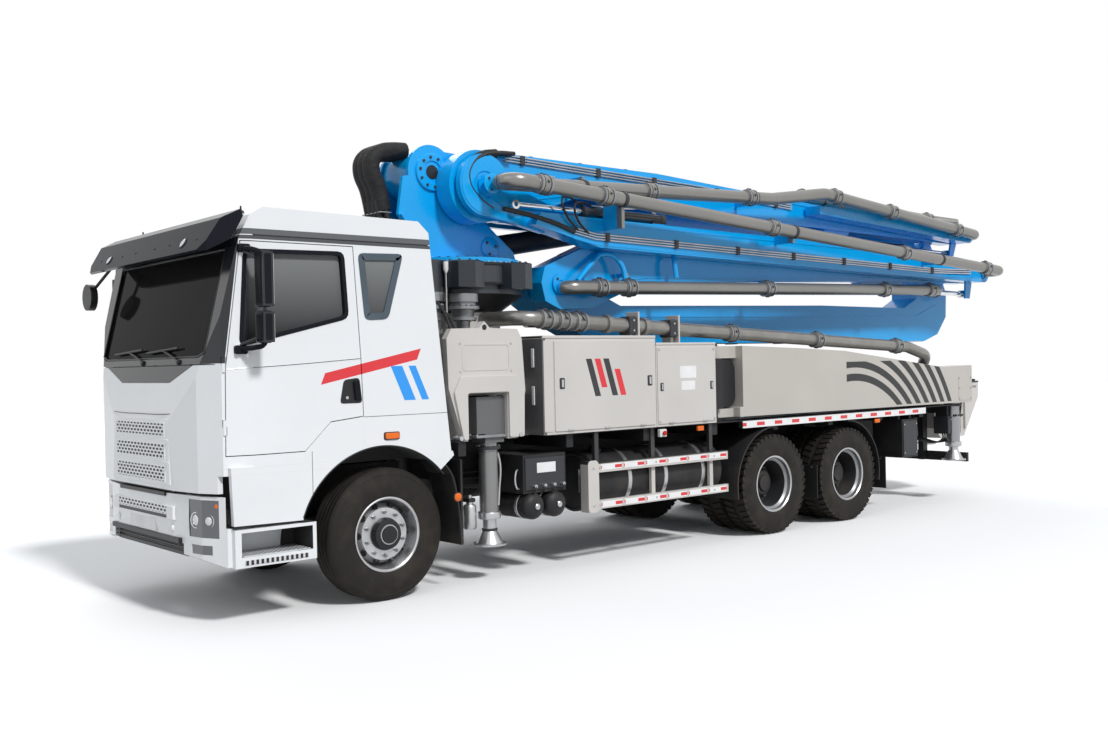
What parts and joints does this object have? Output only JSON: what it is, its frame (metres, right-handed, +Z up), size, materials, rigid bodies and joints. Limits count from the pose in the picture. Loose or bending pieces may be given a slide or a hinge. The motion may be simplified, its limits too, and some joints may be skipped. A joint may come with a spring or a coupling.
{
  "type": "truck-mounted concrete pump",
  "caption": "Concrete pump truck with white forward-control cab, folded blue boom with delivery pipes, grey outriggers, pump and rear hopper.",
  "frame": {"origin": "on the ground, at the centre of the bounding box of the truck with its boom folded", "axes": "+X forward towards the cab, +Y to the driver's left, +Z up"},
  "size_m": [11.9899, 3.02, 3.976],
  "materials": {
    "white_paint": "gloss white paint",
    "grey_paint": "satin warm grey paint",
    "blue_paint": "gloss azure blue paint",
    "black_paint": "satin black paint",
    "dark_paint": "satin dark grey paint",
    "pipe_steel": "metallic grey paint on steel pipe",
    "bright_rod": "polished rod",
    "glass": "tinted",
    "lamp_lens": "clear and coloured lenses",
    "black_plastic": "grained",
    "interior": "grained",
    "tyre": "worn rubber with painted steel rims"
  },
  "bodies": {
    "chassis": {"chassis_frame": "black_paint", "deck_frame": "dark_paint", "engine": "dark_paint", "axles": "black_paint", "bumper_steps": "white_paint", "lamps": "lamp_lens", "pedestal": "grey_paint", "slew_drive": "black_paint", "deck_boxes": "grey_paint", "side_guards": "grey_paint", "tanks": "black_paint", "mudguards": "black_plastic", "tail_frame": "black_paint", "hopper": "grey_paint", "pump_unit": "pipe_steel", "deck_pipe": "pipe_steel"},
    "cab": {"cab_shell": "white_paint", "cab_glass": "glass", "front_panel": "white_paint", "sun_visor": "black_plastic", "front_mirror": "black_plastic", "cab_interior": "interior"},
    "door_left": {"door_left": "white_paint"},
    "door_right": {"door_right": "white_paint"},
    "knuckle_left": {"knuckle_left": "black_paint"},
    "knuckle_right": {"knuckle_right": "black_paint"},
    "wheel_front_left": {"wheel_front_left": "tyre"},
    "wheel_front_right": {"wheel_front_right": "tyre"},
    "wheel_mid_left": {"wheel_mid_left": "tyre"},
    "wheel_mid_right": {"wheel_mid_right": "tyre"},
    "wheel_rear_left": {"wheel_rear_left": "tyre"},
    "wheel_rear_right": {"wheel_rear_right": "tyre"},
    "hopper_grate": {"hopper_grate": "dark_paint"},
    "agitator": {"agitator": "dark_paint"},
    "front_beam_left": {"front_beam_left": "dark_paint"},
    "front_beam_right": {"front_beam_right": "dark_paint"},
    "front_jack_left": {"front_jack_left": "bright_rod"},
    "front_jack_right": {"front_jack_right": "bright_rod"},
    "rear_beam_left": {"rear_beam_left": "grey_paint"},
    "rear_beam_right": {"rear_beam_right": "grey_paint"},
    "rear_jack_left": {"rear_jack_left": "bright_rod"},
    "rear_jack_right": {"rear_jack_right": "bright_rod"},
    "turret": {"turret": "blue_paint"},
    "lift_barrel": {"lift_barrel": "black_paint"},
    "lift_rod": {"lift_rod": "bright_rod"},
    "section_1": {"arm_1": "blue_paint", "pipe_1": "pipe_steel"},
    "section_2": {"arm_2": "blue_paint", "pipe_2": "pipe_steel"},
    "section_3": {"arm_3": "blue_paint", "pipe_3": "pipe_steel"},
    "section_4": {"arm_4": "blue_paint", "pipe_4": "pipe_steel"},
    "section_5": {"arm_5": "blue_paint", "pipe_5": "pipe_steel"},
    "section_6": {"arm_6": "blue_paint", "pipe_6": "pipe_steel"},
    "rod_34": {"rod_34": "bright_rod"},
    "rod_45": {"rod_45": "bright_rod"},
    "rod_56": {"rod_56": "bright_rod"}
  },
  "joints": [
    {"name": "cab_tilt", "type": "hinge", "parent": "chassis", "child": "cab", "pos_m": [5.915, 0, 0.85], "axis": [0, 1, 0], "range_deg": [0, 55]},
    {"name": "door_left_hinge", "type": "hinge", "parent": "cab", "child": "door_left", "pos_m": [5.82, 1.194, 2], "axis": [0, 0, -1], "range_deg": [0, 70]},
    {"name": "door_right_hinge", "type": "hinge", "parent": "cab", "child": "door_right", "pos_m": [5.82, -1.194, 2], "axis": [0, 0, 1], "range_deg": [0, 70]},
    {"name": "steer_left", "type": "hinge", "parent": "chassis", "child": "knuckle_left", "pos_m": [4.435, 0.845, 0.538], "axis": [0, 0, 1], "range_deg": [-40, 40]},
    {"name": "steer_right", "type": "hinge", "parent": "chassis", "child": "knuckle_right", "pos_m": [4.435, -0.845, 0.538], "axis": [0, 0, 1], "range_deg": [-40, 40]},
    {"name": "spin_front_left", "type": "hinge", "parent": "knuckle_left", "child": "wheel_front_left", "pos_m": [4.435, 1.025, 0.538], "axis": [0, 1, 0], "continuous": true},
    {"name": "spin_mid_left", "type": "hinge", "parent": "chassis", "child": "wheel_mid_left", "pos_m": [-0.435, 1.09, 0.538], "axis": [0, 1, 0], "continuous": true},
    {"name": "spin_rear_left", "type": "hinge", "parent": "chassis", "child": "wheel_rear_left", "pos_m": [-1.785, 1.09, 0.538], "axis": [0, 1, 0], "continuous": true},
    {"name": "spin_front_right", "type": "hinge", "parent": "knuckle_right", "child": "wheel_front_right", "pos_m": [4.435, -1.025, 0.538], "axis": [0, 1, 0], "continuous": true},
    {"name": "spin_mid_right", "type": "hinge", "parent": "chassis", "child": "wheel_mid_right", "pos_m": [-0.435, -1.09, 0.538], "axis": [0, 1, 0], "continuous": true},
    {"name": "spin_rear_right", "type": "hinge", "parent": "chassis", "child": "wheel_rear_right", "pos_m": [-1.785, -1.09, 0.538], "axis": [0, 1, 0], "continuous": true},
    {"name": "grate_hinge", "type": "hinge", "parent": "chassis", "child": "hopper_grate", "pos_m": [-4.983, 0, 1.53], "axis": [0, 1, 0], "range_deg": [0, 55]},
    {"name": "agitator_spin", "type": "hinge", "parent": "chassis", "child": "agitator", "pos_m": [-5.065, 0, 1.08], "axis": [0, 1, 0], "continuous": true},
    {"name": "front_beam_left_slide", "type": "slide", "parent": "chassis", "child": "front_beam_left", "axis": [0, 1, 0], "range_m": [0, 1.7]},
    {"name": "front_jack_left_slide", "type": "slide", "parent": "front_beam_left", "child": "front_jack_left", "axis": [0, 0, -1], "range_m": [0, 0.55]},
    {"name": "rear_beam_left_swing", "type": "hinge", "parent": "chassis", "child": "rear_beam_left", "pos_m": [0.335, 1.06, 1.65], "axis": [0, 0, -1], "range_deg": [0, 57]},
    {"name": "rear_jack_left_slide", "type": "slide", "parent": "rear_beam_left", "child": "rear_jack_left", "axis": [0, 0, -1], "range_m": [0, 0.55]},
    {"name": "front_beam_right_slide", "type": "slide", "parent": "chassis", "child": "front_beam_right", "axis": [0, -1, 0], "range_m": [0, 1.7]},
    {"name": "front_jack_right_slide", "type": "slide", "parent": "front_beam_right", "child": "front_jack_right", "axis": [0, 0, -1], "range_m": [0, 0.55]},
    {"name": "rear_beam_right_swing", "type": "hinge", "parent": "chassis", "child": "rear_beam_right", "pos_m": [0.335, -1.06, 1.65], "axis": [0, 0, 1], "range_deg": [0, 57]},
    {"name": "rear_jack_right_slide", "type": "slide", "parent": "rear_beam_right", "child": "rear_jack_right", "axis": [0, 0, -1], "range_m": [0, 0.55]},
    {"name": "slew", "type": "hinge", "parent": "chassis", "child": "turret", "pos_m": [2.835, 0, 2.85], "axis": [0, 0, 1], "range_deg": [-185, 185]},
    {"name": "lift", "type": "hinge", "parent": "turret", "child": "section_1", "pos_m": [3.305, 0, 3.7], "axis": [0, 1, 0], "range_deg": [0, 85]},
    {"name": "lift_barrel_hinge", "type": "hinge", "parent": "turret", "child": "lift_barrel", "pos_m": [2.635, 0, 3.03], "axis": [0, 1, 0], "range_deg": [0, 95]},
    {"name": "lift_rod_slide", "type": "slide", "parent": "lift_barrel", "child": "lift_rod", "axis": [-0.9855, 0, 0.1695], "range_m": [0, 1.5]},
    {"name": "knuckle_12", "type": "hinge", "parent": "section_1", "child": "section_2", "pos_m": [-5.215, 0, 3.33], "axis": [0, 1, 0], "range_deg": [0, 180]},
    {"name": "knuckle_23", "type": "hinge", "parent": "section_2", "child": "section_3", "pos_m": [1.955, 0, 2.68], "axis": [0, 1, 0], "range_deg": [0, 180]},
    {"name": "knuckle_34", "type": "hinge", "parent": "section_3", "child": "section_4", "pos_m": [-5.855, 0, 3.06], "axis": [0, -1, 0], "range_deg": [0, 240]},
    {"name": "knuckle_45", "type": "hinge", "parent": "section_4", "child": "section_5", "pos_m": [2.935, 0, 3.57], "axis": [0, 1, 0], "range_deg": [0, 210]},
    {"name": "knuckle_56", "type": "hinge", "parent": "section_5", "child": "section_6", "pos_m": [-5.465, 0, 3.56], "axis": [0, -1, 0], "range_deg": [0, 180]},
    {"name": "rod_34_slide", "type": "slide", "parent": "section_3", "child": "rod_34", "axis": [-0.9999, 0, -0.0115], "range_m": [0, 0.5]},
    {"name": "rod_45_slide", "type": "slide", "parent": "section_4", "child": "rod_45", "axis": [1, 0, 0.0087], "range_m": [0, 0.45]},
    {"name": "rod_56_slide", "type": "slide", "parent": "section_5", "child": "rod_56", "axis": [-0.9998, 0, -0.0187], "range_m": [0, 0.45]}
  ],
  "couplings": [
    {"joint": "steer_right", "follows": "steer_left", "ratio": 1},
    {"joint": "slew", "follows": "lift", "ratio": 1.0588},
    {"joint": "lift_barrel_hinge", "follows": "lift", "ratio": 0.97137},
    {"joint": "lift_rod_slide", "follows": "lift", "m_per_rad": 0.85839},
    {"joint": "knuckle_12", "follows": "lift", "ratio": 0.2},
    {"joint": "knuckle_23", "follows": "lift", "ratio": 0.235},
    {"joint": "knuckle_34", "follows": "lift", "ratio": 1.88},
    {"joint": "knuckle_45", "follows": "lift", "ratio": 2.35},
    {"joint": "knuckle_56", "follows": "lift", "ratio": 1.88},
    {"joint": "rod_34_slide", "follows": "lift", "m_per_rad": 0.33703},
    {"joint": "rod_45_slide", "follows": "lift", "m_per_rad": 0.30333},
    {"joint": "rod_56_slide", "follows": "lift", "m_per_rad": 0.30333}
  ]
}
